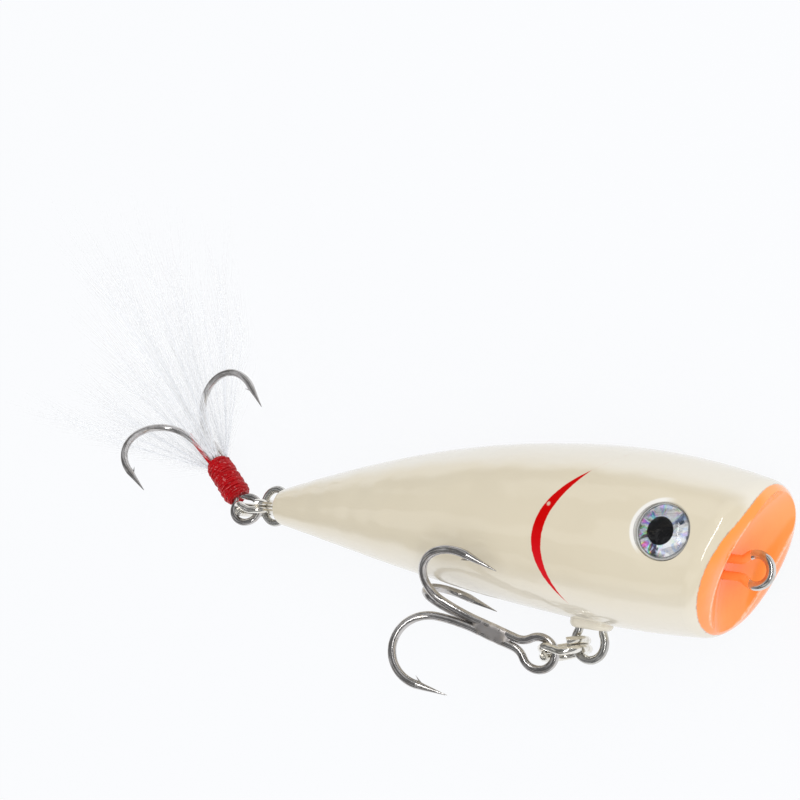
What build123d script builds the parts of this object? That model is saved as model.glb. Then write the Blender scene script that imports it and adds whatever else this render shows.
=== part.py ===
"""Topwater popper: a hollow two-shell fishing lure with two treble hooks and a feathered tail.

Millimetres. The lure lies on its left flank: +X runs towards the mouth, +Y towards the back and
+Z up, out of the right flank. The two shells meet on the level plane through the wire eyes.
While it is built, the tail end of the body is at x = 0 and the joint between the shells is at
z = 0; to_ground moves everything so that the origin is under the middle of the finished lure.
"""
from build123d import *
from math import asin, atan2, cos, degrees, pi, radians, sin, sqrt, tan
import os

# Body
body_length = 70.0          # tail end to the middle of the mouth rim's top
body_radius = 9.55          # at the widest station
widest_at = body_length - 18.5
tail_radius = 2.3           # of the blunt tail end
nose_radius = body_radius - 2.15  # at body_length
back_arch = 1.2             # how far the middle of the body rises above its two ends
tail_edge = 0.5             # rounding of the tail end
wall = 1.5                  # shell wall

# Mouth
mouth_point = (body_length - 3.6, 0.4)  # deepest point of the mouth's face, from the side
mouth_lean = 24.9           # degrees that the face leans back from square
mouth_curve = 56.0          # radius of the face, hollow as seen from the side
lip_round = 0.25 * body_radius  # outer rounding of the lip
cup_depth = 2.4             # below mouth_point
cup_half_width = 0.54 * body_radius
cup_half_height = 0.84 * body_radius

# Inside of the shells
cavity_start = 9.0          # tail block ends here
cavity_end = body_length - 9.4  # nose block starts here
bulkhead = 1.8              # thickness of each bulkhead
weight_radius = 2.6
weight_length = 9.0
weight_at = 11.0            # tail side of the weight
ball_radius = 2.0
ball_travel = 6.0
rattle_at = 24.0            # tail side of the rattle channel
rattle_wall = 1.0
pin_radius = 0.6
pin_length = 1.5
fit = 0.03                  # gap round each trapped or seated piece

# Wire eyes in the body
wire = 0.93                 # diameter of the three wire eyes
tie_centre = (body_length - 3.4, -1.0)
tie_radius = 1.57           # of the wire's centre line
tie_leg = 7.4               # loop centre to foot
belly_eye_at = body_length - 21.7
belly_eye_drop = 2.21       # loop centre below the belly
belly_eye_radius = 1.87
belly_eye_leg = 5.2
tail_eye_centre = (-1.45, 0.0)
tail_eye_radius = 2.2
tail_eye_leg = 8.4
leg_half = 0.85             # half the distance between two legs
belly_leg_half = 1.5
neck_round = 1.0            # where a leg runs into its loop
foot = 1.9                  # how far a foot turns out from its leg
foot_round = 0.8
boss_length = 4.8           # belly boss, along the body
boss_width = 3.0
boss_height = 0.8           # below the belly

# Eyes of the lure
eye_centre = (body_length - 9.3, 1.75)
eye_radius = 2.8
eye_turn = 5.0              # degrees that each eye looks forwards
eye_depth = 0.75            # of the flat socket, from the flank
eye_rim = 0.12              # gap round the eye in its socket
foil_thickness = 0.2
dome_height = 1.15

# Split rings
ring_radius = 2.5           # of the coil's centre line
ring_wire = 0.9
coil_gap = 0.04             # between the two coils
ring_step = 55.0            # degrees over which the wire steps to the second coil
ring_ends = 12.0            # degrees between a wire end and the step

# Treble hooks
hook_wire = 0.95
hook_eye_radius = 1.8
hook_neck = 1.9
wire_gap = 0.06             # between neighbouring wires of a treble
shank_to_split = 7.6        # hook eye centre to where the wires part
split_curve = 18.5          # gentle curve after the split
belly_split_turn = 13.5     # degrees
bend_radius = 3.95
bend_end = 186.0            # degrees turned at the start of the point
point_length = 3.6
point_tip = 0.035
barb_length = 1.3
barb_height = 0.45
barb_width = 0.3
single_start = 3.6          # hook eye centre to the cut end of the single hook
tail_hook_extra = 1.0       # the tail treble's shank is longer by this
tail_bend_radius = 5.1
tail_split_turn = 17.5      # degrees

# Where the rings and trebles lie. A ring's turn is from straight back towards the back, and its
# coil stands off the middle of the body's wire eye by its slack. A treble's eye stands off the
# coil by its own slack and has slid round the ring. Then its shank turns towards the back, lifts
# off the level plane and rolls.
belly_ring_turn = -20.0
belly_ring_slack = 0.74
tail_ring_turn = -9.0
tail_ring_slack = 1.05
belly_hook_slack = 0.4
belly_hook_slide = 33.0
belly_hook_turn = 19.1
belly_hook_roll = -0.6
belly_hook_height = body_radius - 2.2   # of its shank's line, belly_hook_reach from the eye
belly_hook_reach = 13.0
tail_hook_slack = -0.5
tail_hook_slide = 0.0
tail_hook_turn = 42.8
tail_hook_lift = 4.1
tail_hook_roll = 28.4

# Thread wrap, tag and feathers on the tail treble
wrap_start = 2.8            # from the hook eye's centre
wrap_length = 5.9
wrap_radius = 1.8
wrap_bore = 1.12
wrap_round = 0.45
tag_length = 5.6
tag_radius = 0.35
tag_around = 58.0           # degrees round the shanks
tag_spread = 9.0            # degrees off the shanks
tag_root = 1.38             # from the middle of the shanks
feather_gap = 0.25          # between the wrap and the feathers
feather_root = 1.5          # from the middle of the shanks to each quill
feather_thickness = 0.3
quill_length = 4.0          # bare root of a feather
quill_width = 0.26
# one entry for each feather
feather_around = (350.0, 331.0, 312.0, 84.0, 100.0, 116.0, 216.0, 196.0)
feather_spread = (38.0, 30.0, 24.0, 46.0, 32.0, 42.0, 13.0, 24.0)
feather_length = (36.0, 38.0, 38.0, 29.0, 31.0, 32.0, 44.0, 38.0)
feather_width = (4.6, 4.6, 4.2, 4.6, 4.8, 4.8, 4.6, 4.2)


def girth(x):
    """Radius of the body's round section at x."""
    if x < widest_at:
        return tail_radius + (body_radius - tail_radius) * sin(pi / 2 * x / widest_at)
    past = (x - widest_at) / (body_length - widest_at)
    return body_radius - (body_radius - nose_radius) * past ** 2


def spine(x):
    """Height (y) of the middle of the body at x."""
    half = body_length / 2
    return back_arch * (1 - ((x - half) / half) ** 2)


def belly_eye_centre():
    """Middle of the belly wire eye's loop, on the parting plane."""
    return belly_eye_at, spine(belly_eye_at) - girth(belly_eye_at) - belly_eye_drop


def round_loft(start, end, inset, sections=9):
    """Smooth round solid between two stations, inset from the outside of the body."""
    stations = [start + (end - start) * i / (sections - 1) for i in range(sections)]
    rings = [
        Plane(origin=(x, spine(x), 0), z_dir=(1, 0, 0)) * Circle(girth(x) - inset)
        for x in stations
    ]
    return loft(rings)


def mouth_normal():
    """Direction that the mouth faces."""
    return Vector(cos(radians(mouth_lean)), -sin(radians(mouth_lean)), 0)


def mouth_cup(face_middle, facing):
    """Upright oval hollow that runs out at the top and bottom of the rim."""
    curve = (cup_half_width ** 2 + cup_depth ** 2) / (2 * cup_depth)
    middle = face_middle + facing * (curve - cup_depth)
    upright = Plane(origin=middle, x_dir=facing, z_dir=(0, 0, 1))
    return upright * scale(Sphere(curve), by=(1, cup_half_height / cup_half_width, 1))


def body_form():
    """Outside of the whole body: rounded tail, leaning hollow face, round lip and cup."""
    form = round_loft(0, body_length + body_radius / 2, 0, sections=11)
    tail_edges = form.edges().sort_by(Axis.X)[:1]
    form = fillet(tail_edges, tail_edge)
    face_middle = Vector(*mouth_point, 0)
    facing = mouth_normal()
    sweep_centre = face_middle + facing * mouth_curve
    form -= Pos(*sweep_centre) * Cylinder(mouth_curve, 4 * body_radius)
    lip = [e for e in form.edges() if e.center().X > mouth_point[0] - body_radius / 2]
    lip = [e for e in lip if e.length > body_radius]
    form = fillet(lip, lip_round)
    return form - mouth_cup(face_middle, facing)


def wire_sweep(edges, diameter):
    """Round wire along a chain of edges."""
    path = Wire(edges)
    return sweep(Plane(origin=path @ 0, z_dir=path % 0) * Circle(diameter / 2), path=path)


def loop_edges(radius, half, neck):
    """Loop round the origin that opens towards +x and runs into two legs at y = +half and -half.

    Gives the edges from the upper leg to the lower one, and the x where the legs start.
    """
    reach = sqrt((radius + neck) ** 2 - (half + neck) ** 2)
    share = radius / (radius + neck)
    join = (reach * share, (half + neck) * share)
    bend = atan2(half + neck, reach)
    middle_angle = (-pi / 2 + bend - pi) / 2
    middle = (reach + neck * cos(middle_angle), half + neck + neck * sin(middle_angle))
    upper = ThreePointArc((reach, half), middle, join)
    loop = ThreePointArc(join, (-radius, 0), (join[0], -join[1]))
    lower = ThreePointArc((join[0], -join[1]), (middle[0], -middle[1]), (reach, -half))
    return [upper, loop, lower], reach


def wire_eye_edges(radius, half, leg):
    """A wire eye: loop, two legs and two feet turned outwards."""
    edges, reach = loop_edges(radius, half, neck_round)
    turn = foot_round * cos(pi / 4)

    def leg_edges(side):
        corner = (leg - foot_round, side * half)
        toe = (leg, side * (half + foot_round))
        middle = (leg - foot_round + turn, side * (half + foot_round - turn))
        return [
            Line(toe, (leg, side * (half + foot))),
            ThreePointArc(corner, middle, toe),
            Line((reach, side * half), corner),
        ]

    upper = leg_edges(1)
    lower = leg_edges(-1)
    return upper + edges + lower[::-1]


def wire_eye(plane, radius, half, leg, diameter=wire):
    """A wire eye whose legs run along the plane's x."""
    return plane * wire_sweep(wire_eye_edges(radius, half, leg), diameter)


def wire_eyes(diameter=wire):
    """The three wire eyes of the body, by name."""
    tie = Plane(origin=(*tie_centre, 0), x_dir=(-1, 0, 0), z_dir=(0, 0, 1))
    belly = Plane(origin=(*belly_eye_centre(), 0), x_dir=(0, 1, 0), z_dir=(0, 0, 1))
    tail = Plane(origin=(*tail_eye_centre, 0), x_dir=(1, 0, 0), z_dir=(0, 0, 1))
    return {
        "line_tie_eye": wire_eye(tie, tie_radius, leg_half, tie_leg, diameter),
        "belly_wire_eye": wire_eye(belly, belly_eye_radius, belly_leg_half, belly_eye_leg, diameter),
        "tail_wire_eye": wire_eye(tail, tail_eye_radius, leg_half, tail_eye_leg, diameter),
    }


def belly_boss():
    """Raised pad on the belly where the wire eye comes out."""
    x, y = belly_eye_at, spine(belly_eye_at) - girth(belly_eye_at)
    depth = boss_height + wall
    pad = Pos(x, y + wall - depth / 2, 0) * Box(boss_length, depth, boss_width)
    pad = fillet(pad.edges().filter_by(Axis.Y), boss_width * 0.45)
    return fillet(pad.faces().sort_by(Axis.Y)[0].edges(), boss_height * 0.7)


def slab(x, thickness):
    """Level-edged wall across the whole cavity."""
    return Pos(x + thickness / 2, 0, 0) * Box(thickness, 3 * body_radius, 3 * body_radius)


def x_rod(start, length, radius, height):
    """Cylinder along the body."""
    middle = (start + length / 2, height, 0)
    return Pos(*middle) * Rot(0, 90, 0) * Cylinder(radius, length)


def ball_channel():
    """Start, length and height of the rattle channel."""
    length = 4 * ball_radius + ball_travel + 2 * fit
    return rattle_at, length, spine(rattle_at + length / 2)


def inner_ribs():
    """Bulkheads, channel tube and blocks that stay inside the cavity."""
    start, length, height = ball_channel()
    weight_end = weight_at + weight_length + 2 * fit
    ribs = slab(weight_end, bulkhead)
    ribs += slab(start - bulkhead, bulkhead)
    ribs += slab(start + length, bulkhead)
    ribs += x_rod(start, length, ball_radius + 2 * fit + rattle_wall, height)
    block_length = 2 * (belly_leg_half + foot + wire)
    belly_x, belly_y = belly_eye_centre()
    block_top = belly_y + belly_eye_leg + wire + wall
    block = Box(block_length, 2 * body_radius, 3 * wire)
    ribs += Pos(belly_x, block_top - body_radius, 0) * block
    tie_x, tie_y = tie_centre
    tie_block = Box(2 * bulkhead + wire, 2 * (leg_half + foot + wire), 3 * wire)
    ribs += Pos(tie_x - tie_leg, tie_y, 0) * tie_block
    return ribs


def weight_height():
    return spine(weight_at + weight_length / 2)


def pin_places():
    """Where the locating pins stand on the joint: two in one bulkhead and one in the other."""
    start, length, _ = ball_channel()
    rear = weight_at + weight_length + bulkhead / 2
    front = start + length + bulkhead / 2
    places = []
    for x, side in ((rear, 1), (rear, -1), (front, 1)):
        offset = girth(x) - wall - 2 * pin_radius
        places.append((x, spine(x) + side * offset))
    return places


def eye_plane(side):
    """Plane of an eye's socket floor: its normal looks out of the flank."""
    x, y = eye_centre
    flank = sqrt(girth(x) ** 2 - (y - spine(x)) ** 2)
    up = asin((y - spine(x)) / girth(x))
    out = Vector(sin(radians(eye_turn)), sin(up), side * cos(up) * cos(radians(eye_turn)))
    origin = Vector(x, y, side * flank) - out.normalized() * eye_depth
    return Plane(origin=origin, x_dir=(1, 0, -side * tan(radians(eye_turn))), z_dir=out)


def eye_socket(side):
    """Cutter of the flat round socket."""
    return eye_plane(side) * Pos(0, 0, 2) * Cylinder(eye_radius + eye_rim, 4)


def eye_foil(side):
    return eye_plane(side) * Pos(0, 0, foil_thickness / 2) * Cylinder(eye_radius, foil_thickness)


def eye_dome(side):
    """Clear flat-backed dome on the foil."""
    ball_size = (eye_radius ** 2 + dome_height ** 2) / (2 * dome_height)
    centre = foil_thickness + dome_height - ball_size
    block = Pos(0, 0, foil_thickness + dome_height) * Cylinder(eye_radius, 2 * dome_height)
    return eye_plane(side) * (Pos(0, 0, centre) * Sphere(ball_size) & block)


def shells():
    """Right and left shell, hollow, with all their seats."""
    body = body_form() + belly_boss()
    cavity = round_loft(cavity_start, cavity_end, wall, sections=7) - inner_ribs()
    body -= cavity
    start, length, height = ball_channel()
    body -= x_rod(start, length, ball_radius + 2 * fit, height)
    body -= x_rod(weight_at - fit, weight_length + 2 * fit, weight_radius + fit, weight_height())
    for seat in wire_eyes(wire + 2 * fit).values():
        body -= seat
    for side in (1, -1):
        body -= eye_socket(side)
    left = split(body, bisect_by=Plane.XY, keep=Keep.BOTTOM)
    halves = {"right_shell": mirror(left, about=Plane.XY), "left_shell": left}
    for x, y in pin_places():
        halves["left_shell"] += Pos(x, y, 0) * Cylinder(pin_radius, 2 * pin_length)
        halves["right_shell"] -= Pos(x, y, 0) * Cylinder(pin_radius + fit, 2 * (pin_length + fit))
    return halves


def tail_weight():
    return x_rod(weight_at, weight_length, weight_radius, weight_height())


def rattle_ball(number):
    """Steel ball in the channel: 0 is the rear one, both at rest half way along."""
    start, length, height = ball_channel()
    middle = start + length / 2
    offset = (2 * number - 1) * (ball_radius + fit)
    return Pos(middle + offset, height, 0) * Sphere(ball_radius)


def split_ring(plane):
    """Two-turn ring round the plane's origin; its axis is the plane's z."""
    half = (ring_wire + coil_gap) / 2

    def place(angle, level):
        return (ring_radius * cos(radians(angle)), ring_radius * sin(radians(angle)), level)

    def heading(angle):
        return (-sin(radians(angle)), cos(radians(angle)), 0)

    def coil(start, end, level):
        middle = (start + end) / 2
        return ThreePointArc(place(start, level), place(middle, level), place(end, level))

    step_start = 90 - ring_step / 2
    step_end = 90 + ring_step / 2
    first = coil(step_end + ring_ends - 360, step_start, half)
    step = Spline(
        place(step_start, half),
        place(step_end, -half),
        tangents=(heading(step_start), heading(step_end)),
    )
    second = coil(step_end, step_start + 360 - ring_ends, -half)
    return plane * wire_sweep([first, step, second], ring_wire)


def ring_plane(centre, turn, slack):
    """Plane of a split ring that hangs in a wire eye: x points away from the body."""
    away = Vector(-cos(radians(turn)), sin(radians(turn)), 0)
    origin = Vector(*centre, 0) + away * (slack + ring_radius)
    return Plane(origin=origin, x_dir=away, z_dir=away.cross(Vector(0, 0, 1)))


def hook_plane(ring, slack, slide, turn, lift, roll):
    """Plane of a treble: origin in its eye, x along the shank, z out of the eye."""
    slide, turn, lift, roll = radians(slide), radians(turn), radians(lift), radians(roll)
    reach = ring.x_dir * cos(slide) + Vector(0, 0, 1) * sin(slide)
    origin = ring.origin + reach * (ring_radius + slack)
    along = Vector(-cos(turn) * cos(lift), sin(turn) * cos(lift), sin(lift))
    out = (Vector(0, 0, 1) - along * along.Z).normalized()
    side = out.cross(along)
    return Plane(origin=origin, x_dir=along, z_dir=out * cos(roll) - side * sin(roll))


def belly_planes():
    """Planes of the belly ring and of its treble, which lies over the right flank."""
    ring = ring_plane(belly_eye_centre(), belly_ring_turn, belly_ring_slack)
    eye_height = (ring_radius + belly_hook_slack) * sin(radians(belly_hook_slide))
    lift = degrees(asin((belly_hook_height - eye_height) / belly_hook_reach))
    hook = hook_plane(
        ring, belly_hook_slack, belly_hook_slide, belly_hook_turn, lift, belly_hook_roll
    )
    return ring, hook


def tail_planes():
    """Planes of the tail ring and of its treble."""
    ring = ring_plane(tail_eye_centre, tail_ring_turn, tail_ring_slack)
    hook = hook_plane(
        ring, tail_hook_slack, tail_hook_slide, tail_hook_turn, tail_hook_lift, tail_hook_roll
    )
    return ring, hook


def bend_edges(split, turn, radius, start, angle):
    """One hook from the split to its point: gentle curve, then the round bend.

    start is the (y, z) of its shank, and angle is the way it opens, about the shank.
    """
    away = radians(turn)
    first = Vector(split, 0)
    second = first + Vector(split_curve * sin(away), split_curve * (1 - cos(away)))
    first_middle = first + Vector(
        split_curve * sin(away / 2), split_curve * (1 - cos(away / 2))
    )
    centre = second + Vector(-radius * sin(away), radius * cos(away))

    def on_bend(degree):
        turned = radians(degree)
        return centre + Vector(radius * sin(turned), -radius * cos(turned))

    def lift(point):
        return Vector(
            point.X,
            start[0] + point.Y * cos(radians(angle)),
            start[1] + point.Y * sin(radians(angle)),
        )

    middle = on_bend((turn + bend_end) / 2)
    end = on_bend(bend_end)
    heading = Vector(cos(radians(bend_end)), sin(radians(bend_end)))
    edges = [
        ThreePointArc(lift(first), lift(first_middle), lift(second)),
        ThreePointArc(lift(second), lift(middle), lift(end)),
    ]
    ends = (lift(end), (lift(end + heading) - lift(end)).normalized())
    inward = (lift(end + heading.rotate(Axis.Z, 90)) - lift(end)).normalized()
    return edges, ends, inward


def hook_point(place, heading, inward):
    """Ground point with its barb on the side that faces the shank."""
    plane = Plane(origin=place, z_dir=heading, x_dir=inward)
    point = plane * Pos(0, 0, point_length / 2) * Cone(hook_wire / 2, point_tip, point_length)
    root = hook_wire / 2
    outline = Polyline(
        (0, 0.9 * barb_length),
        (root + barb_height, -0.25 * barb_length),
        (root * 0.8, 0.15 * barb_length),
        (0, 0),
        close=True,
    )
    side = Plane(origin=place, x_dir=inward, z_dir=inward.cross(heading))
    return point + side * extrude(make_face(outline), barb_width / 2, both=True)


def hook_rows():
    """(y, z) of the three shanks: two of the double hook, then the single one."""
    pitch = hook_wire + wire_gap
    return [(pitch / 2, 0), (-pitch / 2, 0), (0, -pitch * sqrt(3) / 2)]


def treble(plane, split, turn, radius):
    """Double hook, single hook and braze of one treble."""
    rows = hook_rows()
    openings = (30, 150, 270)
    loop, reach = loop_edges(hook_eye_radius, rows[0][0], hook_neck)
    parts = [bend_edges(split, turn, radius, row, angle) for row, angle in zip(rows, openings)]

    def shank(start, row):
        return Line((start, *row), (split, *row))

    upper = parts[0][0][::-1] + [shank(reach, rows[0])]
    lower = [shank(reach, rows[1])] + parts[1][0]
    double = wire_sweep(upper + loop + lower, hook_wire)
    single = wire_sweep([shank(single_start, rows[2])] + parts[2][0], hook_wire)
    for number, (_, (place, heading), inward) in enumerate(parts):
        point = hook_point(place, heading, inward)
        if number < 2:
            double += point
        else:
            single += point
    return {
        "double_hook": plane * double,
        "single_hook": plane * single,
        "hook_braze": plane * braze(split, rows),
    }


def braze(split, rows):
    """Filler metal in the grooves between the three shanks."""
    length = split - single_start - hook_wire
    outline = make_hull(
        [edge for row in rows for edge in (Pos(*row) * Circle(hook_wire * 0.36)).edges()]
    )
    for row in rows:
        outline -= Pos(*row) * Circle(hook_wire / 2)
    across = Plane(origin=(single_start + hook_wire / 2, 0, 0), x_dir=(0, 1, 0), z_dir=(1, 0, 0))
    return across * extrude(outline, length)


def thread_wrap(plane):
    """Whipping of thread round the tail treble's shanks."""
    middle = wrap_start + wrap_length / 2
    sleeve = Cylinder(wrap_radius, wrap_length)
    sleeve = fillet(sleeve.edges(), wrap_round)
    sleeve -= Cylinder(wrap_bore, 2 * wrap_length)
    return plane * Pos(middle, 0, -bundle_drop()) * Rot(0, 90, 0) * sleeve


def bundle_drop():
    """How far the middle of the three shanks lies below the plane of the eye."""
    return (hook_wire + wire_gap) * sqrt(3) / 6


def tuft_plane(plane, gap, root, around, spread):
    """Plane of a strand tied in behind the wrap: x runs along it, z faces the outside."""
    around, spread = radians(around), radians(spread)
    outward = plane.y_dir * cos(around) + plane.z_dir * sin(around)
    along = plane.x_dir * cos(spread) + outward * sin(spread)
    facing = outward * cos(spread) - plane.x_dir * sin(spread)
    middle = plane.from_local_coords(Vector(wrap_start + wrap_length + gap, 0, -bundle_drop()))
    return Plane(origin=middle + outward * root, x_dir=along, z_dir=facing)


def feather(plane, around, spread, length, width):
    """One feather: a narrow quill, then a thin leaf with a pointed end."""
    half = quill_width / 2
    middle = (quill_length + length) / 2
    outline = Line((0, -half), (0, half))
    outline += Line((0, half), (quill_length, half))
    outline += ThreePointArc((quill_length, half), (middle, width / 2), (length, 0))
    outline += ThreePointArc((length, 0), (middle, -width / 2), (quill_length, -half))
    outline += Line((quill_length, -half), (0, -half))
    leaf = extrude(make_face(outline), feather_thickness / 2, both=True)
    return tuft_plane(plane, feather_gap, feather_root, around, spread) * leaf


def red_tag(plane):
    """Tapered red strand that leaves the wrap beside the feathers."""
    cone = Pos(tag_length / 2, 0, 0) * Rot(0, 90, 0) * Cone(tag_radius, tag_radius / 5, tag_length)
    return tuft_plane(plane, 2 * fit, tag_root, tag_around, tag_spread) * cone


def lure_parts():
    """All pieces by name, in the frame they are built in."""
    parts = shells()
    parts.update(wire_eyes())
    parts["tail_weight"] = tail_weight()
    parts["rear_rattle_ball"] = rattle_ball(0)
    parts["front_rattle_ball"] = rattle_ball(1)
    for name, side in (("right", 1), ("left", -1)):
        parts[name + "_eye_foil"] = eye_foil(side)
        parts[name + "_eye_dome"] = eye_dome(side)
    belly_ring, belly_hook = belly_planes()
    tail_ring, tail_hook = tail_planes()
    parts["belly_split_ring"] = split_ring(belly_ring)
    parts["tail_split_ring"] = split_ring(tail_ring)
    belly_treble = treble(belly_hook, shank_to_split, belly_split_turn, bend_radius)
    tail_split = shank_to_split + tail_hook_extra
    tail_treble = treble(tail_hook, tail_split, tail_split_turn, tail_bend_radius)
    for name, piece in belly_treble.items():
        parts["belly_" + name] = piece
    for name, piece in tail_treble.items():
        parts["tail_" + name] = piece
    parts["thread_wrap"] = thread_wrap(tail_hook)
    parts["red_tag"] = red_tag(tail_hook)
    rows = zip(feather_around, feather_spread, feather_length, feather_width)
    for number, row in enumerate(rows, start=1):
        parts["feather_%d" % number] = feather(tail_hook, *row)
    return parts


def to_ground(parts):
    """Shift that puts the origin under the middle of the whole lure."""
    boxes = [piece.bounding_box() for piece in parts.values()]
    low = [min(getattr(box.min, axis) for box in boxes) for axis in "XYZ"]
    high = [max(getattr(box.max, axis) for box in boxes) for axis in "XYZ"]
    return Location((-(low[0] + high[0]) / 2, -(low[1] + high[1]) / 2, -low[2]))


def main():
    parts = lure_parts()
    shift = to_ground(parts)
    os.makedirs("parts", exist_ok=True)
    for name, piece in parts.items():
        print(name, round(piece.volume, 2), len(piece.solids()), piece.is_valid)
        export_step(shift * piece, "parts/%s.step" % name)
    print("shift", shift.position)


main()
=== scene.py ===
import math
import random

import bpy
import numpy as np
from mathutils import Matrix, Vector
from mathutils.geometry import convex_hull_2d


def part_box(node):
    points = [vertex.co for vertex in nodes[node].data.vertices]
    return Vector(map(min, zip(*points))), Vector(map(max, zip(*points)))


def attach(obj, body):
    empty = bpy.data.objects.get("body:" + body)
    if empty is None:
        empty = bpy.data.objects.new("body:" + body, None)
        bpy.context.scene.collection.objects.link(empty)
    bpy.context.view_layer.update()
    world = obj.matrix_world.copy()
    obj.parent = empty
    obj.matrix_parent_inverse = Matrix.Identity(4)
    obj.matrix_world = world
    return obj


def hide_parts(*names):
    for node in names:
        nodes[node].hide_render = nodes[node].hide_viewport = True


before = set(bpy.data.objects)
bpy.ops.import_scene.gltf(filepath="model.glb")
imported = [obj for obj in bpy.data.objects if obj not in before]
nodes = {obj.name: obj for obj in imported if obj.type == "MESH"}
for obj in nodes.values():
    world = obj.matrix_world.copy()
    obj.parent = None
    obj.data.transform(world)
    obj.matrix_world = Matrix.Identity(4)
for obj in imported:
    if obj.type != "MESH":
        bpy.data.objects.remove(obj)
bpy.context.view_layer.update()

# ---------------------------------------------------------------- the lure's own millimetres
# The lure's tail end is x = 0, its flank's parting plane is z = 0 and its tail eye lies on y = 0.
MM = 0.001
shell_low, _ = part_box("right_shell")
tail_low, tail_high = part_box("tail_wire_eye")
SHIFT = Vector((shell_low.x, (tail_low.y + tail_high.y) / 2, shell_low.z))

BODY_LENGTH = 70.0
BACK_ARCH = 1.2                          # rise of the body's middle line
MOUTH_POINT = (BODY_LENGTH - 3.6, 0.4)   # middle of the mouth's face
MOUTH_LEAN = math.radians(24.9)
MOUTH_CURVE = 56.0                       # radius of the mouth's face
CUP_DEPTH = 2.4
CUP_HALF_WIDTH = 5.157
CUP_HALF_HEIGHT = 8.022
CUP_CURVE = (CUP_HALF_WIDTH**2 + CUP_DEPTH**2) / (2 * CUP_DEPTH)
EYE_CENTRE = (BODY_LENGTH - 9.3, 1.75)
EYE_RADIUS = 2.87                        # where the dome meets the paint
PUPIL = (1.38, 1.42)                     # half its width and half its height
PUPIL_ASIDE = 0.4                        # towards the tail from the eye's middle
GILL_AT = 46.5                           # where the stroke crosses y = 0
GILL_ENDS = (7.3, -6.7)
GILL_CHIP = (47.5, 3.35)                 # a bare fleck in the stroke
TIE_PAINT_END = BODY_LENGTH - 3.9        # paint covers the line tie behind this

CAMERA_AT = (129.83963, -0.39339, 128.94385)
CAMERA_TURN = math.radians(41.0)         # from the flank's normal towards the nose
CAMERA_TIP = math.radians(-5.0)          # below the middle line
CAMERA_ROLL = math.radians(6.5)

BLACK = (0, 0, 0, 1)
WHITE = (0.973, 0.982, 1.0, 1)           # of the backdrop
BONE_DARK = (0.735, 0.65, 0.485, 1)
BONE_LIGHT = (0.76, 0.685, 0.525, 1)
BONE_GRAIN = (0.62, 0.54, 0.4, 1)
# painted reflections of the white surroundings, on the back and on the belly
BACK_PAINTED_REFLECTION = (0.86, 0.83, 0.76, 1)
BELLY_PAINTED_REFLECTION = (0.9, 0.86, 0.77, 1)
GILL_UPPER = (0.6, 0.0, 0.0, 1)
GILL_LOWER = (0.7, 0.01, 0.018, 1)
GILL_GRAIN = (0.42, 0.0, 0.0, 1)
# painted highlight on the lacquer round each eye
POOLED_LACQUER_PAINTED_HIGHLIGHT = (0.95, 0.94, 0.91, 1)
EYE_SHADE = (0.4, 0.38, 0.34, 1)
ORANGE = (1.0, 0.245, 0.03, 1)
ORANGE_STREAK = (1.0, 0.31, 0.055, 1)
# painted light on the mouth's top, and painted shade deep in its hollow
ORANGE_PAINTED_TOP_LIGHT = (1.0, 0.37, 0.1, 1)
ORANGE_PAINTED_HOLLOW_SHADE = (0.97, 0.17, 0.02, 1)
ORANGE_FLANK = (0.97, 0.27, 0.01, 1)
# pale crest: partly rubbed paint, partly a painted highlight
ORANGE_RUB_AND_HIGHLIGHT = (1.0, 0.62, 0.42, 1)
ORANGE_THIN = (1.0, 0.26, 0.05, 1)       # on the line tie's wire
ORANGE_THICK = (1.0, 0.32, 0.08, 1)
SEAM_DIRT = (0.3, 0.2, 0.15, 1)
# painted glow: emission that lifts the fluorescent orange equally in light and in shade
FLUORESCENT_PAINTED_GLOW = 0.1                         # the orange is fluorescent

WRAP_LENGTH = 6.3
WRAP_RADIUS = 1.33                       # at its ends
WRAP_BELLY = 0.24                        # thicker than that between its shoulders
THREAD = 0.13                            # radius
STRAND = 0.17                            # radius of a loose strand at its root
FLOOR_GAP = 0.3                          # barbs and quills stay this far above the floor
QUILL = 0.065                            # radius at its root
QUILL_SHARE = 0.74                       # of the plume's length
BARB_STEPS = 6
BRAZE_SIDES = 48


def at(x, y, z):
    """A point given in the lure's millimetres, in the row frame."""
    return SHIFT + Vector((x, y, z)) * MM


# ---------------------------------------------------------------- camera
def make_camera():
    flat = Vector((math.sin(CAMERA_TURN), 0, math.cos(CAMERA_TURN)))
    back = flat * math.cos(CAMERA_TIP) + Vector((0, math.sin(CAMERA_TIP), 0))
    level = Vector((math.cos(CAMERA_TURN), 0, -math.sin(CAMERA_TURN)))
    upright = back.cross(level)
    right = level * math.cos(CAMERA_ROLL) + upright * math.sin(CAMERA_ROLL)
    up = upright * math.cos(CAMERA_ROLL) - level * math.sin(CAMERA_ROLL)
    data = bpy.data.cameras.new("camera")
    data.sensor_width = 36.0
    data.lens = 63.0
    data.clip_start = 0.01
    data.clip_end = 10.0
    camera = bpy.data.objects.new("camera", data)
    bpy.context.scene.collection.objects.link(camera)
    turned = Matrix((right, up, back)).transposed().to_4x4()
    camera.matrix_world = Matrix.Translation(at(*CAMERA_AT)) @ turned
    bpy.context.scene.camera = camera


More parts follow.
